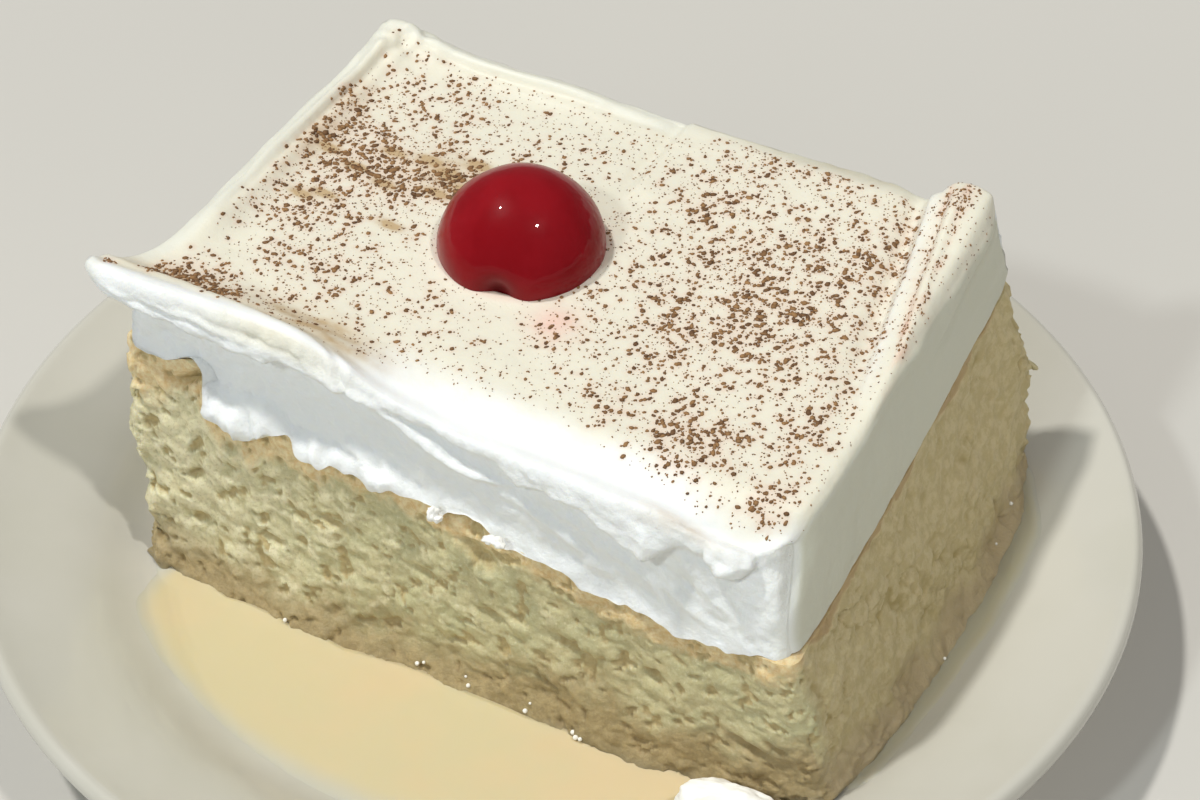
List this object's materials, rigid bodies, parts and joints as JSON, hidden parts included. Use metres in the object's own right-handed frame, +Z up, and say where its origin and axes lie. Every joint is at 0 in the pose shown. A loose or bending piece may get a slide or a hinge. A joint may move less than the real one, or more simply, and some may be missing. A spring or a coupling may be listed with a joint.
{
  "type": "tres leches cake",
  "caption": "Cut square of soaked tres leches cake with whipped cream, cinnamon and a half-sunk cherry, standing in a pool of milk on a small round plate.",
  "frame": {"origin": "centre of the plate's foot ring, at the height it stands on", "axes": "+Z up; -Y towards the side with the pool of milk, +X to the right of it; the cake's long side is turned 28.1 degrees clockwise from +X, seen from above"},
  "size_m": [0.16, 0.16, 0.0641],
  "materials": {
    "plate_glaze": "glazed, off-white",
    "milk": "wet, pale cream yellow",
    "sponge_crumb": "open wet crumb, pale yellow",
    "whipped_cream": "satin, warm white, dusted with cinnamon",
    "cherry_red": "glossy, deep red",
    "dab_cream": "satin, warm white"
  },
  "bodies": {
    "root": {"plate": "plate_glaze", "milk": "milk", "sponge": "sponge_crumb", "cream": "whipped_cream", "cherry": "cherry_red", "cream_dab": "dab_cream"}
  },
  "joints": []
}
